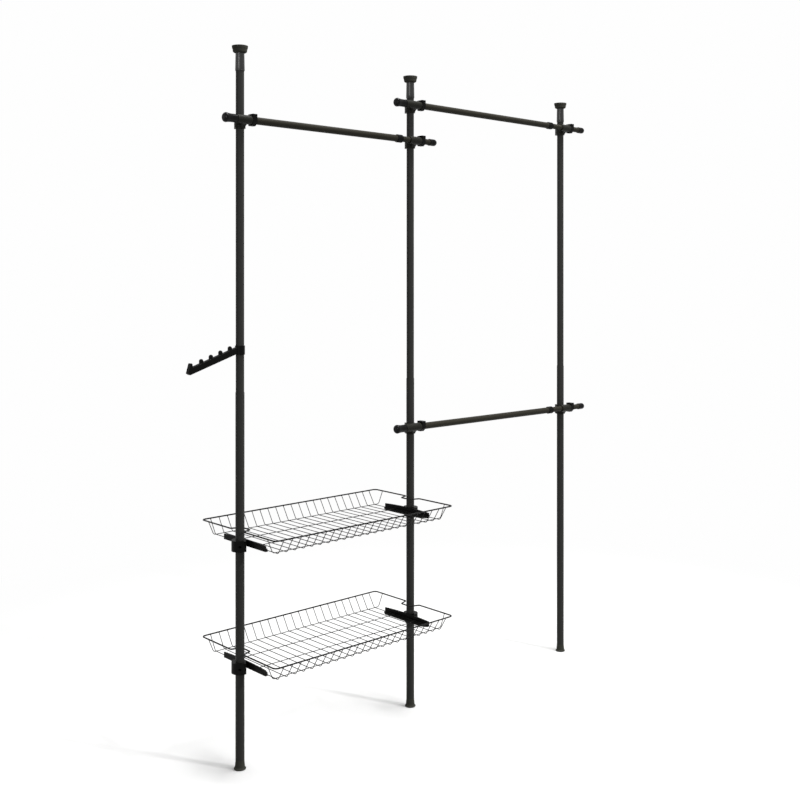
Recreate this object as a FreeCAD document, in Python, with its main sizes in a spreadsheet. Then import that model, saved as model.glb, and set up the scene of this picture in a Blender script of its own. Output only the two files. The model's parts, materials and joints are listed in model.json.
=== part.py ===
"""Open frame wardrobe: poles clamped between floor and ceiling, with rails, baskets and a hook arm.

Millimetres. The origin is on the floor under the middle pole, +X runs along the row to the right, -Y is the
front and +Z is up.
"""
import FreeCAD, Part
import Sketcher
import math
import os
import re

# Driving dimensions
SIZES = {
    # Row of poles
    "ceiling_height": 2400,
    "left_bay": 776,
    "right_bay": 903,
    # Fits: sliding tubes, pushed or clamped seats, turning rings
    "slide_gap": 0.3,
    "fit_gap": 0.1,
    "turn_gap": 0.1,
    # Pole tubes
    "pole_od": 28,
    "pole_wall": 0.7,
    "lower_tube_top": 1250,
    "pole_overlap": 500,
    "lock_head": 20,
    "lock_spigot": 30,
    # Foot
    "foot_od": 41,
    "foot_height": 31,
    "foot_edge": 3,
    "foot_flare": 9,
    "foot_flare_top": 11,
    "foot_draft": 1.5,
    "foot_spigot": 30,
    # Ceiling jack
    "cap_od": 54,
    "cap_disc": 8,
    "cap_rim_draft": 1,
    "cap_shoulder_od": 50,
    "cap_cone": 11,
    "cap_waist_od": 46.5,
    "cap_turn": 10,
    "cap_neck_od": 31,
    "cap_height": 23,
    "cap_roof": 8,
    "sleeve_length": 59,
    "sleeve_top_od": 29.5,
    "sleeve_foot_od": 31.7,
    "sleeve_grip": 20,
    "sleeve_lip": 2,
    "screw_od": 16,
    "screw_tail": 60,
    "bush_depth": 40,
    "bush_flange": 4,
    # Rails
    "rail_od": 22,
    "rail_wall": 1.2,
    "rail_headroom": 17.7,
    "rail_step": 135,
    "low_rail_drop": 183,
    "left_start": 75,
    "left_mouth": 76,
    "left_end": 94,
    "right_start": 95,
    "right_mouth": 101,
    "right_end": 109,
    "rail_overlap": 500,
    "plug_length": 49,
    "plug_nose": 10,
    "plug_nose_od": 33,
    "plug_waist_od": 28,
    "plug_taper": 27,
    "mouth_ring_length": 27,
    "mouth_ring_wall": 2.5,
    "mouth_ring_lip": 3,
    "nose_grip": 24,
    "nose_wall": 2,
    "nose_groove": 1,
    "nose_groove_width": 3,
    # Rail bracket
    "collar_wall": 4.4,
    "collar_up": 12,
    "collar_down": 27,
    "saddle_wall": 2.5,
    "saddle_left": 35,
    "long_saddle_left": 55,
    "saddle_right": 22,
    "saddle_edge": 1.5,
    "chin_width": 18,
    "chin_drop": 8,
    "chin_round": 14,
    "lug_reach": 4.5,
    "lug_width": 18,
    "lug_corner": 2.5,
    "lug_split": 3,
    # Rail clip
    "clip_length": 17,
    "clip_top": 8,
    "clip_wall": 2,
    "clip_sole": 6,
    "clip_chamfer": 11,
    "clip_round": 4,
    "clip_slit": 3,
    # Clamp bolts
    "bolt_od": 3,
    "bolt_head_od": 5.5,
    "bolt_head": 2.5,
    "bolt_end": 1,
    # Basket arm and its clamp block
    "arm_half": 121,
    "arm_tip": 6,
    "arm_taper": 22,
    "web_wall": 4,
    "web_rise": 19,
    "web_end_rise": 15,
    "ledge_wall": 3.5,
    "ledge_reach": 20,
    "clamp_wall": 5.5,
    "clamp_height": 36,
    "clamp_ear": 14,
    "clamp_ear_wall": 6,
    "clamp_split": 0.6,
    "block_nose": 13,
    "bolt_recess": 1,
    # Baskets
    "upper_rim_z": 794,
    "lower_rim_z": 390,
    "rim_past_pole": 12,
    "basket_width": 430,
    "basket_depth": 50,
    "basket_inset": 32,
    "rim_wire": 5,
    "mesh_wire": 2.6,
    "cross_wires": 22,
    "weld_sink": 0.3,
    "rim_corner": 14,
    "rim_bend": 7,
    "mesh_bend": 12,
    "notch_clearance": 6.5,
    "notch_slope": 13,
    "wire_overhang": 1.9,
    # Hook arm
    "hook_rise": 140.5,
    "hook_ring_wall": 2.5,
    "hook_ring_height": 30,
    "hook_reach": 202,
    "hook_slope": 18.6,
    "beam_height": 22.5,
    "beam_width": 15,
    "beam_round": 4,
    "beam_tip": 8,
    "first_peg": 40,
    "peg_pitch": 36.5,
    "peg_count": 4,
    "peg_od": 14.5,
    "peg_height": 12,
    "peg_root": 8,
    "peg_crown": 7,
    "stop_lean": 9,
    "stop_width": 6.5,
    "stop_foot": 2,
    "stop_height": 13,
}

# Sizes that follow from the driving dimensions, as sheet expressions
LOWER_OD = "(pole_od + 2*(slide_gap + pole_wall))"
UPPER_R = "(pole_od/2)"
LOWER_R = f"({LOWER_OD}/2)"
OUTER_RAIL_R = "(rail_od/2 + slide_gap + rail_wall)"
INNER_RAIL_R = "(rail_od/2)"
SADDLE_R = f"({OUTER_RAIL_R} + saddle_wall)"
RAIL_FRONT = f"({LOWER_R} + {SADDLE_R})"
SLEEVE_TOP = "(ceiling_height - cap_height - slide_gap)"
SLEEVE_FOOT = f"({SLEEVE_TOP} - sleeve_length)"
UPPER_TUBE_TOP = f"({SLEEVE_FOOT} + sleeve_grip)"
UPPER_TUBE_FOOT = "(lower_tube_top - pole_overlap)"
RIGHT_RAIL_Z = f"({SLEEVE_FOOT} - collar_up - rail_headroom)"
LEFT_RAIL_Z = f"({RIGHT_RAIL_Z} - rail_step)"
LOW_RAIL_Z = "(lower_tube_top - low_rail_drop)"
SCREW_R = "(screw_od/2)"
CLIP_START = "(saddle_right + slide_gap)"
CLIP_HALF_DEPTH = f"({OUTER_RAIL_R} + clip_wall)"
LUG_BOLT_Y = "(fit_gap + collar_wall + lug_reach/4)"
CLAMP_R = f"({LOWER_R} + fit_gap + clamp_wall)"
WEB_X = f"({CLAMP_R} - web_wall)"
EAR_Y = f"({LOWER_R} + fit_gap + clamp_ear)"
EAR_BOLT_Y = f"({LOWER_R} + fit_gap + clamp_ear/2 + bolt_od/4)"
BLOCK_REACH = f"({LOWER_R} + block_nose)"
HOOK_R = f"({UPPER_R} + turn_gap + hook_ring_wall)"

doc = FreeCAD.newDocument("wardrobe")
sheet = doc.addObject("Spreadsheet::Sheet", "Sizes")
for row, (alias, number) in enumerate(SIZES.items(), start=1):
    sheet.set(f"A{row}", alias)
    sheet.set(f"B{row}", str(number))
    sheet.setAlias(f"B{row}", alias)
doc.recompute()

nodes = []


def named(text):
    """The expression with the sheet's name in front of each alias."""
    return re.sub(r"[a-z]\w*", lambda word: f"Sizes.{word[0]}" if word[0] in SIZES else word[0], text)


def value(text):
    """The number that a sheet expression gives."""
    return float(sheet.evalExpression(named(text)))


def place(piece, x="0", y="0", z="0", axis=(0, 0, 1), angle=0):
    """Turn a piece, then tie its place to the sheet."""
    turn = FreeCAD.Rotation(FreeCAD.Vector(*axis), angle)
    piece.Placement = FreeCAD.Placement(FreeCAD.Vector(), turn)
    for letter, text in zip("xyz", (x, y, z)):
        piece.setExpression(f"Placement.Base.{letter}", named(text))
    return piece


def new_body(label):
    """An empty body with its own label."""
    body = doc.addObject("PartDesign::Body", label)
    body.Label = label
    return body


def keep(piece):
    """Hand a piece in as a node of its own."""
    nodes.append(piece)
    return piece


def group(label, members):
    """Identical pieces on one body share a node."""
    compound = doc.addObject("Part::Compound", label)
    compound.Label = label
    compound.Links = members
    return keep(compound)


def new_sketch(body, plane, shift):
    """A sketch on one of the body's own planes, shifted along the plane's normal."""
    sketch = body.newObject("Sketcher::SketchObject", f"{body.Name}_sketch")
    support = next(f for f in body.Origin.OriginFeatures if f.Role == plane)
    sketch.AttachmentSupport = [(support, "")]
    sketch.MapMode = "FlatFace"
    sketch.setExpression("AttachmentOffset.Base.z", named(shift))
    return sketch


def tie(sketch, kind, where, text):
    """A dimension of a sketch, tied to the sheet; a zero becomes a point on the axis."""
    if text == "0":
        axis = -2 if kind == "DistanceX" else -1
        sketch.addConstraint(Sketcher.Constraint("PointOnObject", *where, axis))
        return
    ends = (-1, 1, *where) if kind.startswith("Distance") else where
    index = sketch.addConstraint(Sketcher.Constraint(kind, *ends, value(text)))
    sketch.setExpression(f"Constraints[{index}]", named(text))


def arc_between(start, end, radius):
    """The short arc from start to end: it turns left for a positive radius, right for a negative one."""
    chord = end - start
    left = FreeCAD.Vector(-chord.y, chord.x, 0).normalize()
    rise = math.sqrt(max(radius**2 - (chord.Length / 2) ** 2, 0))
    centre = (start + end) / 2 + left * math.copysign(rise, radius)
    first, last = (start, end) if radius > 0 else (end, start)
    angles = [math.atan2(p.y - centre.y, p.x - centre.x) for p in (first, last)]
    circle = Part.Circle(centre, FreeCAD.Vector(0, 0, 1), abs(radius))
    return Part.ArcOfCircle(circle, *angles)


def outline(body, plane, corners, shift="0"):
    """A closed outline whose corners (across, up) are tied to the sheet.

    A third entry is the radius of the arc that leads on from that corner, negative where it turns right.
    """
    sketch = new_sketch(body, plane, shift)
    points = [FreeCAD.Vector(value(c[0]), value(c[1]), 0) for c in corners]
    first, last = [], []
    for here, there, corner in zip(points, points[1:] + points[:1], corners):
        radius = value(corner[2]) if len(corner) > 2 else 0
        sketch.addGeometry(arc_between(here, there, radius) if radius else Part.LineSegment(here, there))
        first.append(2 if radius < 0 else 1)
        last.append(1 if radius < 0 else 2)
    for side, corner in enumerate(corners):
        following = (side + 1) % len(corners)
        sketch.addConstraint(Sketcher.Constraint("Coincident", side, last[side], following, first[following]))
        tie(sketch, "DistanceX", (side, first[side]), corner[0])
        tie(sketch, "DistanceY", (side, first[side]), corner[1])
        if len(corner) > 2:
            tie(sketch, "Radius", (side,), corner[2].lstrip("-"))
    return sketch


def circles(body, plane, radii, across="0", up="0", shift="0"):
    """Circles round one centre."""
    sketch = new_sketch(body, plane, shift)
    centre = FreeCAD.Vector(value(across), value(up), 0)
    for side, radius in enumerate(radii):
        sketch.addGeometry(Part.Circle(centre, FreeCAD.Vector(0, 0, 1), value(radius)))
        tie(sketch, "DistanceX", (side, 3), across)
        tie(sketch, "DistanceY", (side, 3), up)
        tie(sketch, "Radius", (side,), radius)
    return sketch


def pad(body, sketch, length, symmetric=False):
    """Raise a sketch along its normal, or by half to each side."""
    feature = body.newObject("PartDesign::Pad", f"{body.Name}_pad")
    feature.Profile = sketch
    feature.SideType = "Symmetric" if symmetric else "One side"
    feature.setExpression("Length", named(length))
    return feature


def pocket(body, sketch, length):
    """Cut against the sketch's normal."""
    feature = body.newObject("PartDesign::Pocket", f"{body.Name}_pocket")
    feature.Profile = sketch
    feature.setExpression("Length", named(length))
    return feature


def turned(label, plane, axis, corners):
    """A piece turned about an axis of its own frame."""
    body = new_body(label)
    feature = body.newObject("PartDesign::Revolution", f"{label}_turn")
    feature.Profile = outline(body, plane, corners)
    feature.ReferenceAxis = (feature.Profile[0], [axis])
    feature.Angle = 360
    return body


def rounded(body, radius, wanted):
    """Round the edges of the finished form that wanted picks out."""
    doc.recompute()
    base = body.Tip
    edges = [f"Edge{n}" for n, edge in enumerate(base.Shape.Edges, start=1) if wanted(edge)]
    feature = body.newObject("PartDesign::Fillet", f"{body.Name}_round")
    feature.Base = (base, edges)
    feature.setExpression("Radius", named(radius))
    return feature


def is_circle(edge, radius):
    """Whether an edge is part of a circle of that radius."""
    curve = edge.Curve
    return curve.TypeId == "Part::GeomCircle" and abs(curve.Radius - value(radius)) < 1e-6


def is_line(edge, shortest):
    """Whether an edge is straight and longer than the shortest one wanted."""
    return edge.Curve.TypeId == "Part::GeomLine" and edge.Length > value(shortest)


def tube(label, plane, outer, inner, length):
    """A straight tube along the plane's normal."""
    body = new_body(label)
    pad(body, circles(body, plane, [outer, inner]), length)
    return body


def bolt(label, length):
    """A clamp bolt along +X with its head's underside at its origin."""
    return turned(label, "XZ_Plane", "H_Axis", [
        ("-bolt_head", "0"),
        ("-bolt_head", "bolt_head_od/2"),
        ("0", "bolt_head_od/2"),
        ("0", "bolt_od/2"),
        (length, "bolt_od/2"),
        (length, "0"),
    ])


# Poles
def pole(name, x):
    """Lower and upper tube, foot, lock plug, bush and the ceiling jack of one pole."""
    lower = keep(tube(f"{name}_lower_tube", "XY_Plane", LOWER_R, f"{LOWER_R} - pole_wall",
                      "lower_tube_top - foot_height"))
    place(lower, x, z="foot_height")
    upper = keep(tube(f"{name}_upper_tube", "XY_Plane", UPPER_R, f"{UPPER_R} - pole_wall",
                      f"{UPPER_TUBE_TOP} - {UPPER_TUBE_FOOT}"))
    place(upper, x, z=UPPER_TUBE_FOOT)

    spigot = f"({LOWER_R} - pole_wall - fit_gap)"
    foot = keep(turned(f"{name}_foot", "XZ_Plane", "V_Axis", [
        ("0", "0"),
        ("foot_od/2 - foot_edge", "0", "foot_edge"),
        ("foot_od/2", "foot_edge", "-foot_flare"),
        (f"{LOWER_R} + foot_draft", "foot_flare_top"),
        (LOWER_R, "foot_height - foot_edge"),
        (LOWER_R, "foot_height"),
        (spigot, "foot_height"),
        (spigot, "foot_height + foot_spigot"),
        ("0", "foot_height + foot_spigot"),
    ]))
    place(foot, x)

    inside = f"({UPPER_R} - pole_wall - fit_gap)"
    lock = turned(f"{name}_lock_plug", "XZ_Plane", "V_Axis", [
        ("0", "-lock_head"),
        (inside, "-lock_head"),
        (UPPER_R, f"-lock_head + {UPPER_R} - {inside}"),
        (UPPER_R, "0"),
        (inside, "0"),
        (inside, "lock_spigot"),
        ("0", "lock_spigot"),
    ])
    place(lock, x, z=UPPER_TUBE_FOOT)
    bush = turned(f"{name}_top_bush", "XZ_Plane", "V_Axis", [
        (f"{SCREW_R} + slide_gap", "-bush_depth"),
        (inside, "-bush_depth"),
        (inside, "0"),
        (UPPER_R, "0"),
        (UPPER_R, "bush_flange"),
        (f"{SCREW_R} + slide_gap", "bush_flange"),
    ])
    place(bush, x, z=UPPER_TUBE_TOP)

    sleeve = keep(turned(f"{name}_twist_sleeve", "XZ_Plane", "V_Axis", [
        (f"{UPPER_R} + slide_gap", "0"),
        ("sleeve_foot_od/2", "0"),
        ("sleeve_foot_od/2", "sleeve_lip"),
        ("sleeve_top_od/2", "sleeve_length"),
        (f"{SCREW_R} + turn_gap", "sleeve_length"),
        (f"{SCREW_R} + turn_gap", "sleeve_grip + bush_flange + slide_gap"),
        (f"{UPPER_R} + slide_gap", "sleeve_grip + bush_flange + slide_gap"),
    ]))
    place(sleeve, x, z=SLEEVE_FOOT)

    socket = f"({SCREW_R} + fit_gap)"
    cap = keep(turned(f"{name}_ceiling_cap", "XZ_Plane", "V_Axis", [
        ("0", "0"),
        ("cap_od/2", "0"),
        ("cap_od/2 - cap_rim_draft", "-cap_disc"),
        ("cap_shoulder_od/2", "-cap_disc"),
        ("cap_waist_od/2", "-cap_disc - cap_cone", "-cap_turn"),
        ("cap_neck_od/2", "-cap_height"),
        (socket, "-cap_height"),
        (socket, "-cap_roof"),
        ("0", "-cap_roof"),
    ]))
    place(cap, x, z="ceiling_height")
    screw = doc.addObject("Part::Cylinder", f"{name}_jack_screw")
    screw.Label = f"{name}_jack_screw"
    screw.setExpression("Radius", named(SCREW_R))
    screw.setExpression("Height", named(f"ceiling_height - cap_roof - {SLEEVE_FOOT} + screw_tail"))
    place(keep(screw), x, z=f"{SLEEVE_FOOT} - screw_tail")
    return lock, bush


# Rails
def rail(name, bay, left_x, right_x, z):
    """One telescopic rail in front of two poles: outer tube, inner tube, plug, mouth ring and nose."""
    start = f"({left_x} - {bay}_start)"
    mouth = f"({right_x} - {bay}_mouth)"
    end = f"({right_x} + {bay}_end)"
    front = f"-{RAIL_FRONT}"
    outer = keep(tube(f"{name}_outer_tube", "YZ_Plane", OUTER_RAIL_R, f"{OUTER_RAIL_R} - rail_wall",
                      f"{mouth} - {start}"))
    place(outer, start, front, z)
    inner = keep(tube(f"{name}_inner_tube", "YZ_Plane", INNER_RAIL_R, f"{INNER_RAIL_R} - rail_wall",
                      f"{end} - {mouth} + rail_overlap"))
    place(inner, f"{mouth} - rail_overlap", front, z)

    seat = f"({OUTER_RAIL_R} + fit_gap)"
    plug = keep(turned(f"{name}_end_plug", "XZ_Plane", "H_Axis", [
        ("0", "0"),
        ("0", seat),
        ("plug_length - plug_nose", seat),
        ("plug_length - plug_nose", "plug_waist_od/2"),
        ("plug_taper", "plug_waist_od/2", "-4*plug_taper"),
        ("0", "plug_nose_od/2", "plug_nose"),
        ("-plug_nose", "plug_nose_od/2 - plug_nose"),
        ("-plug_nose", "0"),
    ]))
    place(plug, start, front, z)

    ring = turned(f"{name}_mouth_ring", "XZ_Plane", "H_Axis", [
        ("mouth_ring_lip - mouth_ring_length", seat),
        ("0", seat),
        ("0", f"{INNER_RAIL_R} + slide_gap"),
        ("mouth_ring_lip", f"{INNER_RAIL_R} + slide_gap"),
        ("mouth_ring_lip", OUTER_RAIL_R, "mouth_ring_wall"),
        ("mouth_ring_lip - mouth_ring_wall", f"{OUTER_RAIL_R} + mouth_ring_wall"),
        ("mouth_ring_lip - mouth_ring_length + mouth_ring_wall", f"{OUTER_RAIL_R} + mouth_ring_wall",
         "mouth_ring_wall"),
    ])
    place(ring, mouth, front, z)

    bore = f"({INNER_RAIL_R} + fit_gap)"
    skin = f"({INNER_RAIL_R} + nose_wall)"
    groove = f"({skin} - nose_groove)"
    nose = keep(turned(f"{name}_end_cap", "XZ_Plane", "H_Axis", [
        ("0", "0"),
        ("0", bore),
        ("-nose_grip", bore),
        ("-nose_grip", skin),
        ("-nose_grip/2", skin),
        ("-nose_grip/2", groove),
        ("nose_groove_width - nose_grip/2", groove),
        ("nose_groove_width - nose_grip/2", skin),
        ("0", skin, f"-{skin}"),
        (skin, "0"),
    ]))
    place(nose, end, front, z)
    return ring


# Rail brackets and clips
def bracket(name, pole_r, rail_r, left, x, z):
    """Moulded cross bracket: split collar on the pole, rail sleeve in front, chin below, lugs behind."""
    body = new_body(f"{name}_bracket")
    height = "(collar_up + collar_down)"
    collar = f"({pole_r} + fit_gap + collar_wall)"
    pad(body, circles(body, "XY_Plane", [collar], shift="-collar_down"), height)
    wide = "lug_width/2"
    lug_end = f"({collar} + lug_reach)"
    pad(body, outline(body, "XY_Plane", [
        (f"-{wide}", "0"),
        (wide, "0"),
        (wide, f"{lug_end} - lug_corner", "lug_corner"),
        (f"{wide} - lug_corner", lug_end),
        (f"lug_corner - {wide}", lug_end, "lug_corner"),
        (f"-{wide}", f"{lug_end} - lug_corner"),
    ], shift="-collar_down"), height)
    pad(body, circles(body, "YZ_Plane", [SADDLE_R], across=f"-{RAIL_FRONT}", shift=f"-{left}"),
        f"{left} + saddle_right")
    pad(body, outline(body, "YZ_Plane", [
        (f"-{pole_r}", f"-{SADDLE_R} - chin_drop"),
        (f"-{pole_r}", f"-{OUTER_RAIL_R}"),
        (f"-{RAIL_FRONT}", f"-{OUTER_RAIL_R} - saddle_wall/2"),
        (f"-{RAIL_FRONT}", f"-{SADDLE_R}", "-chin_round"),
        (f"-{collar}", f"-{SADDLE_R} - chin_drop"),
    ]), "chin_width", symmetric=True)
    rounded(body, "saddle_edge", lambda edge: is_circle(edge, SADDLE_R) and len(edge.Vertexes) == 1)
    pocket(body, circles(body, "XY_Plane", [f"{pole_r} + fit_gap"], shift="collar_up"), height)
    pocket(body, circles(body, "YZ_Plane", [f"{rail_r} + fit_gap"], across=f"-{RAIL_FRONT}",
                         shift="saddle_right"), f"{left} + saddle_right")
    pocket(body, outline(body, "XY_Plane", [
        ("-lug_split/2", "0"),
        ("lug_split/2", "0"),
        ("lug_split/2", f"{lug_end} + lug_corner"),
        ("-lug_split/2", f"{lug_end} + lug_corner"),
    ], shift="collar_up"), height)
    pocket(body, circles(body, "YZ_Plane", ["bolt_od/2 + fit_gap"], across=f"{pole_r} + {LUG_BOLT_Y}",
                         up="(collar_up - collar_down)/2", shift=wide), "lug_width")
    place(body, x, z=z)
    return keep(body)


def collar_bolt(name, pole_r, x, z):
    """The bolt that closes the collar's lugs."""
    piece = bolt(f"{name}_collar_bolt", "lug_width")
    middle = f"{z} + (collar_up - collar_down)/2"
    return place(piece, f"{x} + lug_width/2", f"{pole_r} + {LUG_BOLT_Y}", middle, angle=180)


def clip(name, rail_r, x, z):
    """Flat-topped spring clip round the rail, slit at the back, with its lower front corner cut off."""
    body = new_body(f"{name}_clip")
    top = f"({OUTER_RAIL_R} + clip_top)"
    sole = f"({OUTER_RAIL_R} + clip_sole)"
    pad(body, outline(body, "YZ_Plane", [
        (f"-{CLIP_HALF_DEPTH}", f"clip_chamfer - {sole}"),
        (f"clip_chamfer - {CLIP_HALF_DEPTH}", f"-{sole}"),
        (f"{CLIP_HALF_DEPTH} - clip_round", f"-{sole}", "clip_round"),
        (CLIP_HALF_DEPTH, f"clip_round - {sole}"),
        (CLIP_HALF_DEPTH, f"{top} - saddle_edge", "saddle_edge"),
        (f"{CLIP_HALF_DEPTH} - saddle_edge", top),
        (f"saddle_edge - {CLIP_HALF_DEPTH}", top, "saddle_edge"),
        (f"-{CLIP_HALF_DEPTH}", f"{top} - saddle_edge"),
    ], shift=CLIP_START), "clip_length")
    end = f"{CLIP_START} + clip_length"
    pocket(body, circles(body, "YZ_Plane", [f"{rail_r} + fit_gap"], shift=end), "clip_length")
    pocket(body, outline(body, "YZ_Plane", [
        ("0", "-clip_slit/2"),
        (f"{CLIP_HALF_DEPTH} + clip_slit", "-clip_slit/2"),
        (f"{CLIP_HALF_DEPTH} + clip_slit", "clip_slit/2"),
        ("0", "clip_slit/2"),
    ], shift=end), "clip_length")
    return place(body, x, f"-{RAIL_FRONT}", z)


# Basket arms
def basket_arm(name, x, ledge_z, angle):
    """Arm along the pole's inner side: arched web, tapered ledge for the wires and half of the pole clamp."""
    body = new_body(f"{name}_arm")
    half_height = "clamp_height/2"
    low = f"-{half_height}"
    pad(body, outline(body, "XY_Plane", [
        ("0", f"-{CLAMP_R}", CLAMP_R),
        (CLAMP_R, "0", CLAMP_R),
        ("0", CLAMP_R),
    ], shift=low), "clamp_height")
    pad(body, outline(body, "XY_Plane", [
        ("0", f"-{EAR_Y}"),
        ("clamp_ear_wall", f"-{EAR_Y}"),
        ("clamp_ear_wall", EAR_Y),
        ("0", EAR_Y),
    ], shift=low), "clamp_height")
    arch = "(web_rise - web_end_rise)"
    arch_r = f"((arm_half^2 + {arch}^2) / (2*{arch}))"
    pad(body, outline(body, "YZ_Plane", [
        ("-arm_half", "-ledge_wall"),
        ("arm_half", "-ledge_wall"),
        ("arm_half", "web_end_rise", arch_r),
        ("0", "web_rise", arch_r),
        ("-arm_half", "web_end_rise"),
    ], shift=WEB_X), "web_wall")
    reach = f"({CLAMP_R} + ledge_reach)"
    pad(body, outline(body, "XY_Plane", [
        (WEB_X, "-arm_half"),
        (f"{CLAMP_R} + arm_tip", "-arm_half"),
        (reach, "arm_taper - arm_half"),
        (reach, "arm_half - arm_taper"),
        (f"{CLAMP_R} + arm_tip", "arm_half"),
        (WEB_X, "arm_half"),
    ], shift="-ledge_wall"), "ledge_wall")
    pocket(body, circles(body, "XY_Plane", [f"{LOWER_R} + fit_gap"], shift=half_height), "clamp_height")
    for side in ("", "-"):
        pocket(body, circles(body, "YZ_Plane", ["bolt_od/2 + fit_gap"], across=f"{side}{EAR_BOLT_Y}",
                             shift="clamp_ear_wall"), "clamp_ear_wall")
    place(body, x, z=ledge_z, angle=angle)
    return keep(body)


def clamp_block(name, x, ledge_z, angle):
    """Rounded outer half of the pole clamp, with two recesses for the bolt heads."""
    body = new_body(f"{name}_block")
    half_height = "clamp_height/2"
    depth = f"({BLOCK_REACH} - clamp_ear_wall)"
    nose_r = f"(({EAR_Y}^2 + {depth}^2) / (2*{depth}))"
    pad(body, outline(body, "XY_Plane", [
        ("-clamp_split", f"-{EAR_Y}"),
        ("-clamp_split", EAR_Y),
        ("-clamp_ear_wall", EAR_Y, nose_r),
        (f"-{BLOCK_REACH}", "0", nose_r),
        ("-clamp_ear_wall", f"-{EAR_Y}"),
    ], shift=f"-{half_height}"), "clamp_height")
    pocket(body, circles(body, "XY_Plane", [f"{LOWER_R} + fit_gap"], shift=half_height), "clamp_height")
    for side in ("", "-"):
        pocket(body, circles(body, "YZ_Plane", ["bolt_head_od/2 + bolt_recess"], across=f"{side}{EAR_BOLT_Y}",
                             shift="-clamp_ear_wall"), BLOCK_REACH)
        pocket(body, circles(body, "YZ_Plane", ["bolt_od/2 + fit_gap"], across=f"{side}{EAR_BOLT_Y}"),
               "clamp_ear_wall")
    place(body, x, z=ledge_z, angle=angle)
    return body


def arm_bolts(name, x, ledge_z, inward):
    """Two bolts from the clamp block's recesses through the arm's ears."""
    bolts = []
    away, angle = ("-", 0) if inward > 0 else ("+", 180)
    for side, sign in (("front", "-"), ("back", "")):
        piece = bolt(f"{name}_{side}_bolt", "2*clamp_ear_wall + bolt_end")
        place(piece, f"{x} {away} clamp_ear_wall", f"{sign}{EAR_BOLT_Y}", ledge_z, angle=angle)
        bolts.append(piece)
    return bolts


# Baskets
def rounded_path(points, radii, closed=False):
    """Straight runs through the points, joined by tangent arcs of the given radii; a zero is no bend."""
    count = len(points)
    corners = range(count) if closed else range(1, count - 1)
    cuts = {}
    for here, radius in zip(corners, radii):
        if not radius:
            continue
        back = (points[here - 1] - points[here]).normalize()
        ahead = (points[(here + 1) % count] - points[here]).normalize()
        half_turn = back.getAngle(ahead) / 2
        bisector = (back + ahead).normalize()
        reach = radius / math.tan(half_turn)
        middle = points[here] + bisector * (radius / math.sin(half_turn) - radius)
        cuts[here] = (points[here] + back * reach, middle, points[here] + ahead * reach)
    edges = []
    for here in range(count if closed else count - 1):
        there = (here + 1) % count
        start = cuts[here][2] if here in cuts else points[here]
        end = cuts[there][0] if there in cuts else points[there]
        edges.append(Part.LineSegment(start, end).toShape())
        if there in cuts:
            edges.append(Part.Arc(*cuts[there]).toShape())
    return Part.Wire(edges)


def bent_wire(points, radii, diameter, closed=False):
    """Round wire swept along a rounded path."""
    path = rounded_path(points, radii, closed)
    first = path.OrderedEdges[0]
    start = first.valueAt(first.FirstParameter)
    section = Part.Wire(Part.Circle(start, first.tangentAt(first.FirstParameter), diameter / 2).toShape())
    return path.makePipeShell([section], True, False)


def feature(label, shape):
    """A finished shape as a piece of the document."""
    piece = doc.addObject("Part::Feature", label)
    piece.Label = label
    piece.Shape = shape
    return piece


def basket_rim():
    """Rim wire with round corners, bent inwards round the pole in the middle of each short side.

    Its frame has its origin at the basket's centre, level with the rim.
    """
    half_length = value("left_bay/2 + rim_past_pole")
    half_width = value("basket_width/2")
    inner_x = value(f"left_bay/2 - {LOWER_R} - notch_clearance - rim_wire/2")
    inner_y = value(f"{LOWER_R} + notch_clearance + rim_wire/2")
    outer_y = inner_y + value("notch_slope")
    end = [(half_length, -outer_y), (inner_x, -inner_y), (inner_x, inner_y), (half_length, outer_y)]
    right = [(half_length, -half_width), *end, (half_length, half_width)]
    left = [(-x, -y) for x, y in right]
    corner = value("rim_corner")
    bend = value("rim_bend")
    radii = [corner, bend, bend, bend, bend, corner]
    points = [FreeCAD.Vector(0, -half_width, 0)] + [FreeCAD.Vector(x, y, 0) for x, y in right + left]
    return bent_wire(points, [0, *radii, *radii], value("rim_wire"), closed=True)


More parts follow.
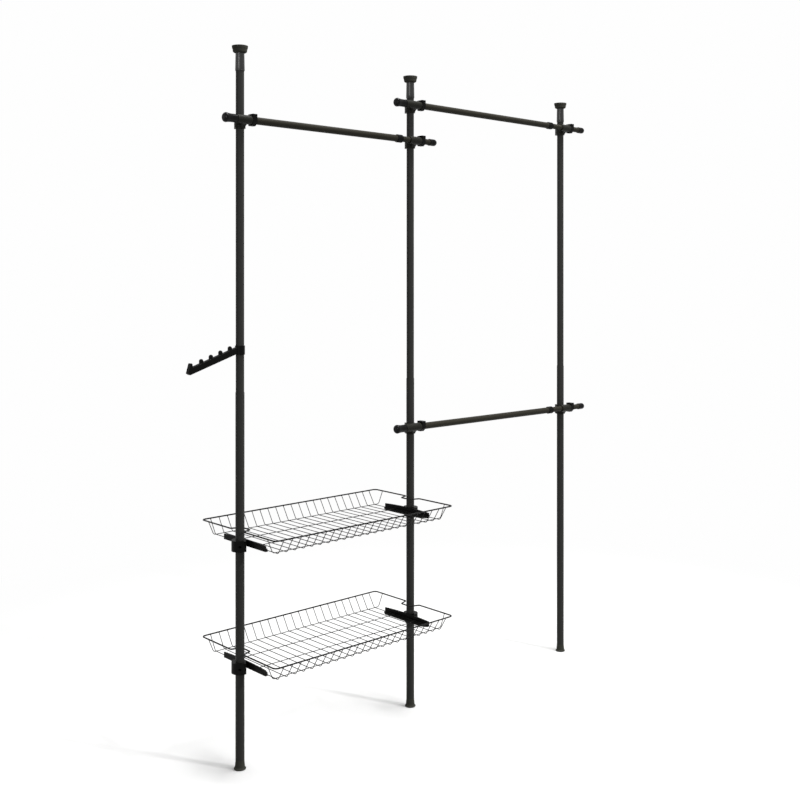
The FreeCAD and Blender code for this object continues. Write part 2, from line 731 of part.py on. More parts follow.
def basket_mesh():
    """Mesh wires welded into a flat floor and two leaning walls, in the rim's frame.

    The cross wires are spread between the webs of the two arms, and the floor's long wires end just short of
    the webs.
    """
    half_length = value("left_bay/2 + rim_past_pole")
    half_width = value("basket_width/2")
    inset = value("basket_inset")
    floor_z = -value("basket_depth")
    wire = value("mesh_wire")
    bend = value("mesh_bend")
    count = int(value("cross_wires"))
    tie_end = value(f"left_bay/2 - {CLAMP_R} - slide_gap")
    last = tie_end - value("wire_overhang")
    places = [2 * last * n / (count - 1) - last for n in range(count)]
    floor_edge = half_width - inset
    wall_start = floor_edge - bend
    long_z = floor_z + wire - value("weld_sink")
    rim_reach = value("rim_wire/2 + fit_gap")
    turn = tie_end + bend

    def up_to_rim(foot, climb):
        """The wire's end, where it meets the outside of the rim wire."""
        return foot + climb * (1 - rim_reach / climb.Length)

    def wall(side):
        """Risers of the cross wires with the long wire that ties them, rising at both ends to the rim."""
        pieces = []
        for x in places:
            foot = FreeCAD.Vector(x, side * floor_edge, floor_z)
            top = up_to_rim(foot, FreeCAD.Vector(0, side * inset, -floor_z))
            pieces.append(bent_wire([FreeCAD.Vector(x, side * wall_start, floor_z), foot, top], [bend], wire))
        y = side * (wall_start + wire / 2)
        rise = half_length - turn
        low = [FreeCAD.Vector(end * turn, y, long_z) for end in (-1, 1)]
        tips = [up_to_rim(foot, FreeCAD.Vector(end * rise, 0, -long_z)) for end, foot in zip((-1, 1), low)]
        long_wire = bent_wire([tips[0], *low, tips[1]], [bend, bend], wire)
        return long_wire.multiFuse(pieces)

    spans = [Part.makeCylinder(wire / 2, 2 * wall_start, FreeCAD.Vector(x, -wall_start, floor_z),
                               FreeCAD.Vector(0, 1, 0)) for x in places]
    ties = [Part.makeCylinder(wire / 2, 2 * tie_end, FreeCAD.Vector(-tie_end, y, long_z),
                              FreeCAD.Vector(1, 0, 0)) for y in (-wall_start / 3, wall_start / 3)]
    floor = ties[0].multiFuse(ties[1:] + spans)
    return Part.makeCompound([solid for part in (wall(-1), floor, wall(1)) for solid in part.Solids])


def basket(name, rim_z):
    """Rim and mesh of one basket, hung between the left and the middle pole."""
    for piece in (feature(f"{name}_basket_rim", basket_rim()), feature(f"{name}_basket_mesh", basket_mesh())):
        place(keep(piece), "-left_bay/2", z=rim_z)


# Hook arm
def hook_arm():
    """Ring on the left pole with a sloping round-topped beam, a row of pegs and a leaning end stop."""
    body = new_body("hook_arm")
    pad(body, circles(body, "XY_Plane", [HOOK_R], shift="-hook_ring_height/2"), "hook_ring_height")
    drop = "tan(hook_slope * 1 deg)"

    def beam_top(away):
        """Height of the beam's top at a distance from the pole's axis."""
        return f"(beam_height/2 - ({away} - {UPPER_R})*{drop})"

    stop_out = "(hook_reach - stop_lean)"
    stop_in = f"({stop_out} - stop_width)"
    stop_foot = f"({stop_in} - stop_foot)"
    stop_top = f"({beam_top(stop_out)} + stop_height)"
    pad(body, outline(body, "XZ_Plane", [
        (f"-{UPPER_R}", "beam_height/2"),
        (f"-{stop_foot}", beam_top(stop_foot)),
        (f"-{stop_in}", stop_top, "0.6*stop_width"),
        (f"-{stop_out}", stop_top),
        ("-hook_reach", f"{beam_top('hook_reach')} - beam_height + beam_tip"),
        ("beam_tip - hook_reach", f"{beam_top('(hook_reach - beam_tip)')} - beam_height"),
        (f"-{UPPER_R}", "-beam_height/2"),
    ]), "beam_width", symmetric=True)
    rounded(body, "beam_round", lambda edge: is_line(edge, "hook_reach/2")
            and max(vertex.Z for vertex in edge.Vertexes) > 0)
    for number in range(SIZES["peg_count"]):
        away = f"(first_peg + {number}*peg_pitch)"
        root = f"{beam_top(away)} - peg_root"
        peg = circles(body, "XY_Plane", ["peg_od/2"], across=f"-{away}", shift=root)
        pad(body, peg, "peg_root + peg_height")
    rounded(body, "peg_crown", lambda edge: len(edge.Vertexes) == 1 and is_circle(edge, "peg_od/2"))
    pocket(body, circles(body, "XY_Plane", [f"{UPPER_R} + turn_gap"], shift="hook_ring_height/2"),
           "hook_ring_height")
    place(keep(body), "-left_bay", z="lower_tube_top + hook_rise")


# Assembly
LEFT = "-left_bay"
MIDDLE = "0"
RIGHT = "right_bay"

left_lock, left_bush = pole("left", LEFT)
middle_lock, middle_bush = pole("middle", MIDDLE)
right_lock, right_bush = pole("right", RIGHT)
group("lock_plugs", [left_lock, middle_lock])
keep(right_lock)
group("top_bushes", [left_bush, middle_bush])
keep(right_bush)

left_ring = rail("left_rail", "left", LEFT, MIDDLE, LEFT_RAIL_Z)
top_ring = rail("right_top_rail", "right", MIDDLE, RIGHT, RIGHT_RAIL_Z)
group("upper_rail_mouth_rings", [left_ring, top_ring])
keep(rail("right_low_rail", "right", MIDDLE, RIGHT, LOW_RAIL_Z))

crossings = {
    "left_top": (UPPER_R, OUTER_RAIL_R, "saddle_left", LEFT, LEFT_RAIL_Z),
    "middle_left": (UPPER_R, INNER_RAIL_R, "saddle_left", MIDDLE, LEFT_RAIL_Z),
    "middle_top": (UPPER_R, OUTER_RAIL_R, "long_saddle_left", MIDDLE, RIGHT_RAIL_Z),
    "right_top": (UPPER_R, INNER_RAIL_R, "saddle_left", RIGHT, RIGHT_RAIL_Z),
    "middle_low": (LOWER_R, OUTER_RAIL_R, "long_saddle_left", MIDDLE, LOW_RAIL_Z),
    "right_low": (LOWER_R, INNER_RAIL_R, "saddle_left", RIGHT, LOW_RAIL_Z),
}
clips = {}
bolts = {}
for name, (pole_r, rail_r, left, x, z) in crossings.items():
    bracket(name, pole_r, rail_r, left, x, z)
    clips[name] = clip(name, rail_r, x, z)
    bolts[name] = collar_bolt(name, pole_r, x, z)
upper_crossings = ("left_top", "middle_left", "middle_top")
group("upper_rail_clips", [clips[name] for name in upper_crossings])
group("upper_frame_bolts", [bolts[name] for name in upper_crossings])
for name in ("right_top", "right_low"):
    keep(clips[name])
    keep(bolts[name])
keep(clips["middle_low"])

blocks = []
lower_bolts = [bolts["middle_low"]]
for level in ("upper", "lower"):
    ledge_z = f"({level}_rim_z - basket_depth - mesh_wire/2 - slide_gap)"
    for side, x, inward in (("left", LEFT, 1), ("middle", MIDDLE, -1)):
        name = f"{side}_{level}_basket"
        angle = 0 if inward > 0 else 180
        basket_arm(name, x, ledge_z, angle)
        blocks.append(clamp_block(name, x, ledge_z, angle))
        lower_bolts += arm_bolts(name, x, ledge_z, inward)
    basket(level, f"{level}_rim_z")
group("basket_clamp_blocks", blocks)
group("lower_frame_bolts", lower_bolts)

hook_arm()

doc.recompute()
faulty = [piece.Label for piece in doc.Objects if {"Invalid", "Error"} & set(piece.State)]
faulty += [piece.Label for piece in nodes if piece.Shape.isNull() or not piece.Shape.isValid()]
if faulty:
    raise RuntimeError(f"these did not build: {faulty}")

os.makedirs("parts", exist_ok=True)
for piece in nodes:
    piece.Shape.exportStep(f"parts/{piece.Label}.step")
print(len(nodes), "nodes,", sum(len(piece.Shape.Solids) for piece in nodes), "solids")
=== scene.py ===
# %% [markdown]
# # An open frame wardrobe, dressed in Blender
# The real object is a row of three black steel poles, clamped between floor and ceiling by a screw jack
# at each top. Rails, two wire baskets and a hook arm hang on them with moulded plastic fittings. The
# shapes come in as a fixed frame, with each node already in place. This lesson adds the camera, the
# light, the finishes, and the fine forms that a part model leaves out: wire bends and welds, threads,
# rolled lips and screw sockets.

# %% Load the frame
import json
import bpy
import numpy as np
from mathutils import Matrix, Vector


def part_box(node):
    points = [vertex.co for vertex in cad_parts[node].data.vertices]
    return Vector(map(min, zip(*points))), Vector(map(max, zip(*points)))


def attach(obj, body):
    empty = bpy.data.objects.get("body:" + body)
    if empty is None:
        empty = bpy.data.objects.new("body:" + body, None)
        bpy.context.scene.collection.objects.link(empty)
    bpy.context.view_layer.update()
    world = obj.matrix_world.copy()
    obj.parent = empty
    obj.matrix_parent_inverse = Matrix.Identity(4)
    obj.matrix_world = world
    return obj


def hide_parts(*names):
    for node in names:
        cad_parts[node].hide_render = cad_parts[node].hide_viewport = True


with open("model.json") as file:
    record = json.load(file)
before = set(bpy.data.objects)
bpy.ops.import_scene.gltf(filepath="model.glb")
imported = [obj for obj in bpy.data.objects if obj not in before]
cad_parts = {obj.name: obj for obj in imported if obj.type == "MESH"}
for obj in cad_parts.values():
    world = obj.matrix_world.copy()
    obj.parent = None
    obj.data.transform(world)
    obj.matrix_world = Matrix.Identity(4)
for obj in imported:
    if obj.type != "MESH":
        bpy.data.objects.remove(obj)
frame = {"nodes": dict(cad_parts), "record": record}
nodes = frame["nodes"]
slot_of = {part["node"]: part["material_slot"] for part in frame["record"]["subparts"]}
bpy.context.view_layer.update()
mm = 0.001

# %% [markdown]
# ## Camera
# A camera is found from lines whose real lengths are known. Here the pole tops and feet, the rails and
# the baskets gave the place and the focal length by least squares. The poles stay parallel in the
# picture, so the camera is level, and a lens shift moves the horizon up instead of a tilt. The focal
# length and the horizon are in pixels of an 800 pixel square, because that is how they were measured.

# %% Place the camera
picture = 800
focal_pixels = 1068
horizon_row = 282.18

camera_data = bpy.data.cameras.new("level_camera")
camera_data.sensor_width = 36
camera_data.lens = camera_data.sensor_width * focal_pixels / picture
camera_data.shift_y = (horizon_row - picture / 2) / picture
camera = bpy.data.objects.new("level_camera", camera_data)
camera.location = (-2.7889, -2.9689, 1.6160)
camera.rotation_euler = np.radians((90, 0, -42.66))
bpy.context.scene.collection.objects.link(camera)
bpy.context.scene.camera = camera
bpy.context.scene.view_settings.view_transform = "Standard"
print(f"lens {camera_data.lens:.1f} mm, shift {camera_data.shift_y:.4f}")

# %% [markdown]
# ## Two small helpers for materials
# Colours are picked as they look on a screen, in sRGB, and shaders add up light, which is linear, so one
# function turns one into the other. Another adds a shader node: settings go to the node, and each named
# input takes either a number or the output of an earlier node. With that, a whole finish reads from top
# to bottom.

# %% Colour and node helpers
def linear(text):
    """sRGB hex to linear: c/12.92 below 0.04045, and ((c + 0.055)/1.055)^2.4 above."""
    c = np.array([int(text[k:k + 2], 16) for k in (1, 3, 5)]) / 255
    return (*np.where(c < 0.04045, c / 12.92, ((c + 0.055) / 1.055) ** 2.4), 1.0)


def add(tree, kind, inputs=(), **settings):
    """Add a node with its settings; inputs pairs a socket's name or number with a value or an output."""
    node = tree.nodes.new(kind)
    for key, setting in settings.items():
        setattr(node, key, setting)
    for key, source in dict(inputs).items():
        if isinstance(source, bpy.types.NodeSocket):
            tree.links.new(source, node.inputs[key])
        else:
            node.inputs[key].default_value = source
    return node


print("mid grey is", np.round(linear("#808080")[0], 3), "linear")

# %% [markdown]
# ## White world
# The object stands in a white studio. What the camera sees behind it, and what glossy surfaces mirror, is
# a plain white. The light that the world gives is much weaker, because black parts under a bright white
# sky turn grey. The Light Path node tells the two apart: it knows whether a ray comes from the camera,
# from a mirror, or from a matt surface that gathers light.

# %% World
seen_white = linear("#FEFEFE")


def seen_by_eye(tree):
    """1 for rays from the camera, from a mirror or through glass, and 0 for rays that only carry light."""
    path = add(tree, "ShaderNodeLightPath").outputs
    mirrored = add(tree, "ShaderNodeMath", {0: path["Is Camera Ray"], 1: path["Is Glossy Ray"]},
                   operation="MAXIMUM")
    through = add(tree, "ShaderNodeMath", {0: mirrored.outputs[0], 1: path["Is Transmission Ray"]},
                  operation="MAXIMUM")
    return through.outputs[0]


world = bpy.data.worlds.new("white_studio")
bpy.context.scene.world = world
world.use_nodes = True
tree = world.node_tree
tree.nodes.clear()
fill = add(tree, "ShaderNodeBackground", {"Color": linear("#F4F4F2"), "Strength": 0.31})
backdrop = add(tree, "ShaderNodeBackground", {"Color": seen_white, "Strength": 1.0})
either = add(tree, "ShaderNodeMixShader", {0: seen_by_eye(tree), 1: fill.outputs[0], 2: backdrop.outputs[0]})
add(tree, "ShaderNodeOutputWorld", {"Surface": either.outputs[0]})
print(world.name, "fills at", fill.inputs["Strength"].default_value)

# %% [markdown]
# ## Floor
# The floor works the same way. Rays that carry light meet a grey paint. Rays from the camera meet a paler
# one with a small glow, bright enough that wide soft shadows drown in white and only the narrow dark ones
# at the feet remain. Further out a plain glow takes over, so that the floor has no edge. The floor itself
# is one square, a hair below the feet, and it belongs to the stage and not to the object.

# %% Floor paint
shadow_reach = 1.3
glow_reach = 2.8

floor_material = bpy.data.materials.new("painted_studio_floor")
floor_material.use_nodes = True
tree = floor_material.node_tree
tree.nodes.clear()
paint = add(tree, "ShaderNodeBsdfDiffuse", {"Color": linear("#7A7A78")})
shadow_keeper = add(tree, "ShaderNodeBsdfDiffuse", {"Color": linear("#E6E6E6")})
glow = add(tree, "ShaderNodeEmission", {"Color": seen_white, "Strength": 0.09})
lifted = add(tree, "ShaderNodeAddShader", {0: shadow_keeper.outputs[0], 1: glow.outputs[0]})
place = add(tree, "ShaderNodeTexCoord").outputs["Object"]
distance = add(tree, "ShaderNodeVectorMath", {0: place}, operation="LENGTH").outputs["Value"]
far = add(tree, "ShaderNodeMapRange", {"Value": distance, "From Min": shadow_reach, "From Max": glow_reach},
          interpolation_type="SMOOTHSTEP")
endless = add(tree, "ShaderNodeEmission", {"Color": seen_white, "Strength": 1.0})
sweep = add(tree, "ShaderNodeMixShader", {0: far.outputs[0], 1: lifted.outputs[0], 2: endless.outputs[0]})
either = add(tree, "ShaderNodeMixShader", {0: seen_by_eye(tree), 1: paint.outputs[0], 2: sweep.outputs[0]})
add(tree, "ShaderNodeOutputMaterial", {"Surface": either.outputs[0]})
print(floor_material.name, "keeps shadows up to", shadow_reach, "m from the middle pole")

# %% Floor square
floor_half = 14
floor_z = -0.2 * mm
floor_corners = floor_half * np.array([(-1, -1), (1, -1), (1, 1), (-1, 1)])

floor_mesh = bpy.data.meshes.new("studio_floor")
floor_mesh.from_pydata([(x, y, floor_z) for x, y in floor_corners], [], [(0, 1, 2, 3)])
floor_mesh.materials.append(floor_material)
floor = bpy.data.objects.new("studio_floor", floor_mesh)
bpy.context.scene.collection.objects.link(floor)
print("floor", 2 * floor_half, "m wide")

# %% [markdown]
# ## Lamps
# Each foot throws a narrow faint shadow, and its slope in the picture gives the lamp's direction on the
# floor: far in front and to the right. That lamp is small, because a narrow shadow needs one, and it
# shows in no gloss. A wide box overhead brightens the tops of the rails, which the photo shows as warm
# grey bands on black tubes. The twist sleeves show an upright streak left of their middle. A tube turns
# the light by twice the angle of its surface, so that streak belongs to a tall strip lamp far round on
# the left. It shows in gloss alone, since no shadow in the photo points away from it.

# %% Hang the lamps
def soft_box(name, place, target, width, height, power):
    """An area lamp at a place, turned so that it faces the target and its height stays upright."""
    lamp = bpy.data.lights.new(name, "AREA")
    lamp.shape = "RECTANGLE"
    lamp.size = width
    lamp.size_y = height
    lamp.energy = power
    box = bpy.data.objects.new(name, lamp)
    away = np.array(place) - np.array(target)
    box.location = place
    box.rotation_euler = (np.arctan2(np.hypot(away[0], away[1]), away[2]), 0, np.arctan2(away[0], -away[1]))
    bpy.context.scene.collection.objects.link(box)
    print(name, power, "W")
    return box


front = soft_box("front_soft_box", place=(2.4, -5.9, 4.8), target=(0.0, 0.0, 1.0),
                 width=0.4, height=0.4, power=225)
front.visible_glossy = False
soft_box("overhead_soft_box", place=(0.5, -0.9, 7.2), target=(0.1, 0.0, 1.2),
         width=2.9, height=2.9, power=560)
strip = soft_box("left_strip_lamp", place=(-4.3, -1.85, 2.75), target=(-0.2, 0.0, 2.2),
                 width=0.5, height=1.9, power=64)
strip.visible_diffuse = False

# %% [markdown]
# ## Powder coat on the poles
# The poles are thin steel tube with a matt black powder coat. Powder melts into a skin with a faint
# orange peel, about 2 mm from crest to crest. It could be a flat dark colour, but then a pole looks like
# a paper strip. Here a large slow noise shifts the colour and the roughness a little, and a fine noise
# raises the peel. The white studio mirrors in every gloss, so the specular level is well below its usual
# 0.5, here and on most of the other finishes.

# %% Powder-coated steel
def start_material(name):
    """A new material with an empty node tree: the material, the tree and the object coordinates."""
    material = bpy.data.materials.new(name)
    material.use_nodes = True
    tree = material.node_tree
    tree.nodes.clear()
    return material, tree, add(tree, "ShaderNodeTexCoord").outputs["Object"]


def end_material(tree, inputs):
    """Close a tree: one shader with its constant and its linked inputs, joined to the surface."""
    shader = add(tree, "ShaderNodeBsdfPrincipled", inputs)
    add(tree, "ShaderNodeOutputMaterial", {"Surface": shader.outputs[0]})


finishes = {}

# Baked powder coat: hides the metal, spreads the light wide and shows a fine peel only where light grazes it.
finishes["pole_tube"], tree, place = start_material("powder_coated_steel")
drift = add(tree, "ShaderNodeTexNoise", {"Vector": place, "Scale": 1 / (45 * mm), "Detail": 3.0})
tint = add(tree, "ShaderNodeMix", {0: drift.outputs[0], 6: linear("#2F2F2E"), 7: linear("#393937")},
           data_type="RGBA")
matt = add(tree, "ShaderNodeMapRange", {"Value": drift.outputs[0], "To Min": 0.48, "To Max": 0.62})
peel = add(tree, "ShaderNodeTexNoise", {"Vector": place, "Scale": 1 / (2.2 * mm), "Detail": 1.0})
skin = add(tree, "ShaderNodeBump", {"Height": peel.outputs[0], "Strength": 0.1, "Distance": 0.02 * mm})
end_material(tree, {"Base Color": tint.outputs[2], "Roughness": matt.outputs[0], "Normal": skin.outputs[0],
                    "IOR": 1.5, "Specular IOR Level": 0.12})
print(finishes["pole_tube"].name)

# %% [markdown]
# ## Satin rails
# The rails are drawn tube with a smoother, warmer satin coat, so that hangers slide. The light from above
# lies on them as a soft band. Drawing leaves faint lines along the tube. A noise that is stretched along
# X, by squeezing its coordinates in a Mapping node, gives lines on all three rails at once because they
# all run that way.

# %% Satin rail coat
# Satin coat on drawn tube: a broad warm highlight, broken lengthwise by lines about 1 mm apart.
finishes["rail_tube"], tree, place = start_material("satin_coated_tube")
along = add(tree, "ShaderNodeMapping", {"Vector": place, "Scale": (0.02, 1.0, 1.0)})
lines = add(tree, "ShaderNodeTexNoise", {"Vector": along.outputs[0], "Scale": 1 / (1.2 * mm), "Detail": 2.0})
drift = add(tree, "ShaderNodeTexNoise", {"Vector": place, "Scale": 1 / (60 * mm), "Detail": 2.0})
tint = add(tree, "ShaderNodeMix", {0: drift.outputs[0], 6: linear("#282721"), 7: linear("#312F29")},
           data_type="RGBA")
satin = add(tree, "ShaderNodeMapRange", {"Value": lines.outputs[0], "To Min": 0.34, "To Max": 0.46})
skin = add(tree, "ShaderNodeBump", {"Height": lines.outputs[0], "Strength": 0.12, "Distance": 0.05 * mm})
end_material(tree, {"Base Color": tint.outputs[2], "Roughness": satin.outputs[0], "Normal": skin.outputs[0],
                    "IOR": 1.5, "Specular IOR Level": 0.05})
print(finishes["rail_tube"].name)

# %% [markdown]
# ## Coated wire
# The baskets are welded steel wire, coated after welding, so the coat runs over the welds and is a little
# uneven in thickness. On a 2.6 mm wire only the gloss along its length shows. A noise of a few
# millimetres in the normal breaks that gloss into short glints, as on real wire.

# %% Coated basket wire
# Fused powder over welded wire: thin glints along each wire, uneven where the coat pooled.
finishes["basket_wire"], tree, place = start_material("coated_wire")
pools = add(tree, "ShaderNodeTexNoise", {"Vector": place, "Scale": 1 / (7 * mm), "Detail": 2.0})
tint = add(tree, "ShaderNodeMix", {0: pools.outputs[0], 6: linear("#0B0B0B"), 7: linear("#161615")},
           data_type="RGBA")
gloss = add(tree, "ShaderNodeMapRange", {"Value": pools.outputs[0], "To Min": 0.32, "To Max": 0.55})
skin = add(tree, "ShaderNodeBump", {"Height": pools.outputs[0], "Strength": 0.3, "Distance": 0.25 * mm})
end_material(tree, {"Base Color": tint.outputs[2], "Roughness": gloss.outputs[0], "Normal": skin.outputs[0],
                    "IOR": 1.5, "Specular IOR Level": 0.1})
print(finishes["basket_wire"].name)

# %% [markdown]
# ## Plastic with a grain
# There are four plastics, a rubber and a steel still to make, all black. Only roughness, grain and a
# trace of tint tell them apart, so each is its own material. The clips, basket arms and the hook arm come
# from a tool with a spark-eroded skin. A Voronoi texture has one round dip for each cell, which is what
# the sparks leave, where a noise would give a soft landscape.

# %% Spark-eroded plastic
# Moulded polypropylene from an eroded tool: matt and black, with a fine grain.
# The real pits are under 0.5 mm. They are drawn at 0.9 mm, so that they show.
finishes["moulded_plastic"], tree, place = start_material("spark_grained_plastic")
pits = add(tree, "ShaderNodeTexVoronoi", {"Vector": place, "Scale": 1 / (0.9 * mm)}, feature="SMOOTH_F1")
flow = add(tree, "ShaderNodeTexNoise", {"Vector": place, "Scale": 1 / (18 * mm), "Detail": 3.0})
tint = add(tree, "ShaderNodeMix", {0: flow.outputs[0], 6: linear("#070706"), 7: linear("#0D0D0C")},
           data_type="RGBA")
matt = add(tree, "ShaderNodeMapRange", {"Value": flow.outputs[0], "To Min": 0.36, "To Max": 0.5})
depth = pits.outputs["Distance"]
skin = add(tree, "ShaderNodeBump", {"Height": depth, "Strength": 0.2, "Distance": 0.08 * mm})
end_material(tree, {"Base Color": tint.outputs[2], "Roughness": matt.outputs[0], "Normal": skin.outputs[0],
                    "IOR": 1.49, "Specular IOR Level": 0.06})
print(finishes["moulded_plastic"].name)

# %% [markdown]
# ## Bracket nylon
# The rail brackets carry the load, so they are a stiff nylon with glass fibres. In the photo they are a
# shade lighter than the other fittings and show a soft band on top. The fibres make slow waves in the
# skin, a few millimetres long and hardly deep enough to see.

# %% Satin bracket plastic
# Glass-filled nylon from a smooth tool: a soft bright band on top, and slow waves where fibres came near.
finishes["bracket_nylon"], tree, place = start_material("satin_nylon")
fibres = add(tree, "ShaderNodeTexNoise", {"Vector": place, "Scale": 1 / (5 * mm), "Detail": 3.0})
tint = add(tree, "ShaderNodeMix", {0: fibres.outputs[0], 6: linear("#1E1E1B"), 7: linear("#262622")},
           data_type="RGBA")
satin = add(tree, "ShaderNodeMapRange", {"Value": fibres.outputs[0], "To Min": 0.36, "To Max": 0.44})
skin = add(tree, "ShaderNodeBump", {"Height": fibres.outputs[0], "Strength": 0.1, "Distance": 0.06 * mm})
end_material(tree, {"Base Color": tint.outputs[2], "Roughness": satin.outputs[0], "Normal": skin.outputs[0],
                    "IOR": 1.53, "Specular IOR Level": 0.06})
print(finishes["bracket_nylon"].name)

# %% [markdown]
# ## Polished end caps
# The rails end in polished caps, so that coats slip over them. A polished black ball mirrors the white
# studio, and its colour hardly counts: roughness sets how sharp the highlight is, and the specular level
# how bright.

# %% Polished cap plastic
# Polished ABS: a tight bright highlight, and slow waves where the thick wall sank as it cooled.
finishes["gloss_plastic"], tree, place = start_material("polished_abs")
sink = add(tree, "ShaderNodeTexNoise", {"Vector": place, "Scale": 1 / (16 * mm), "Detail": 1.0})
tint = add(tree, "ShaderNodeMix", {0: sink.outputs[0], 6: linear("#040404"), 7: linear("#080807")},
           data_type="RGBA")
polish = add(tree, "ShaderNodeMapRange", {"Value": sink.outputs[0], "To Min": 0.2, "To Max": 0.28})
skin = add(tree, "ShaderNodeBump", {"Height": sink.outputs[0], "Strength": 0.1, "Distance": 0.25 * mm})
end_material(tree, {"Base Color": tint.outputs[2], "Roughness": polish.outputs[0], "Normal": skin.outputs[0],
                    "IOR": 1.53, "Specular IOR Level": 0.1})
print(finishes["gloss_plastic"].name)

# %% [markdown]
# ## Sleeve plastic
# The twist sleeves are the shiniest fittings, with one pale streak up the side. Plastic that was injected
# at one end keeps faint lines along its flow. The same stretched noise as on the rails draws them,
# squeezed along Z now.

# %% Satin sleeve plastic
# Satin ABS: a pale upright streak that is soft at its edges, with flow lines along it.
finishes["sleeve_plastic"], tree, place = start_material("satin_abs")
upright = add(tree, "ShaderNodeMapping", {"Vector": place, "Scale": (1.0, 1.0, 0.05)})
flow = add(tree, "ShaderNodeTexNoise", {"Vector": upright.outputs[0], "Scale": 1 / (3 * mm), "Detail": 2.0})
tint = add(tree, "ShaderNodeMix", {0: flow.outputs[0], 6: linear("#0F0F0E"), 7: linear("#181816")},
           data_type="RGBA")
satin = add(tree, "ShaderNodeMapRange", {"Value": flow.outputs[0], "To Min": 0.34, "To Max": 0.4})
skin = add(tree, "ShaderNodeBump", {"Height": flow.outputs[0], "Strength": 0.05, "Distance": 0.05 * mm})
end_material(tree, {"Base Color": tint.outputs[2], "Roughness": satin.outputs[0], "Normal": skin.outputs[0],
                    "IOR": 1.53, "Specular IOR Level": 0.45})
print(finishes["sleeve_plastic"].name)

# %% [markdown]
# ## Rubber
# Feet and ceiling caps grip by friction, so they are rubber. Its wax comes to the surface as a paler
# bloom, which makes the feet lighter than the other fittings. A noise with high roughness gives uneven
# clouds, and the same clouds make the surface duller where the bloom is thick.

# %% Foot and cap rubber
# Moulded rubber: dull, with a bloom of fine paler dust and a grain of about 1 mm.
finishes["foot_rubber"], tree, place = start_material("moulded_rubber")
bloom = add(tree, "ShaderNodeTexNoise",
            {"Vector": place, "Scale": 1 / (9 * mm), "Detail": 4.0, "Roughness": 0.7})
grain = add(tree, "ShaderNodeTexNoise", {"Vector": place, "Scale": 1 / (1.1 * mm), "Detail": 1.0})
tint = add(tree, "ShaderNodeMix", {0: bloom.outputs[0], 6: linear("#33332F"), 7: linear("#494942")},
           data_type="RGBA")
dull = add(tree, "ShaderNodeMapRange", {"Value": bloom.outputs[0], "To Min": 0.6, "To Max": 0.85})
skin = add(tree, "ShaderNodeBump", {"Height": grain.outputs[0], "Strength": 0.3, "Distance": 0.12 * mm})
end_material(tree, {"Base Color": tint.outputs[2], "Roughness": dull.outputs[0], "Normal": skin.outputs[0],
                    "IOR": 1.52, "Specular IOR Level": 0.1})
print(finishes["foot_rubber"].name)

# %% [markdown]
# ## Blackened steel
# Bolts and jack screws are steel with a black oxide skin, too thin to hide that it is metal. So the
# shader is a metal, whose colour is that of its reflection, and not a black paint with a shine on it.

# %% Black oxide steel
# Oxidised steel: dark reflections with no paint under them, blotchy where hands and tools wore the skin.
finishes["fastener"], tree, place = start_material("black_oxide_steel")
blotch = add(tree, "ShaderNodeTexNoise", {"Vector": place, "Scale": 1 / (4 * mm), "Detail": 3.0})
tint = add(tree, "ShaderNodeMix", {0: blotch.outputs[0], 6: linear("#1F1F20"), 7: linear("#343436")},
           data_type="RGBA")
worn = add(tree, "ShaderNodeMapRange", {"Value": blotch.outputs[0], "To Min": 0.3, "To Max": 0.5})
end_material(tree, {"Base Color": tint.outputs[2], "Roughness": worn.outputs[0], "Metallic": 1.0})
print(finishes["fastener"].name)

# %% [markdown]
# ## Finishes on the frame
# Each node of the frame names the slot that it takes its finish from. Only the brackets share a slot with
# other plastic and look different, so they are picked out by name. The tubes, brackets, clips, arms, feet
# and caps have the right shape already, so they keep their meshes and only change material. That keeps
# the visible object and the moving model the same.

# %% Dress every node
finish_of = {name: "bracket_nylon" if "bracket" in name else slot for name, slot in slot_of.items()}
for name, node in nodes.items():
    node.data.materials.clear()
    node.data.materials.append(finishes[finish_of[name]])
for finish in finishes:
    print(finish, sum(finish_of[name] == finish for name in nodes), "nodes")

# %% [markdown]
# ## From arrays to meshes
# The new pieces are all surfaces on a grid: rings of points, one after the other. The points are worked
# out as whole arrays, for one wire or for all wires of a basket at once, and then go into the mesh in one
# call. A grid either closes on itself, as a ring of wire does, or ends in a point at each end.

# %% Grid surfaces
crease = np.radians(40)


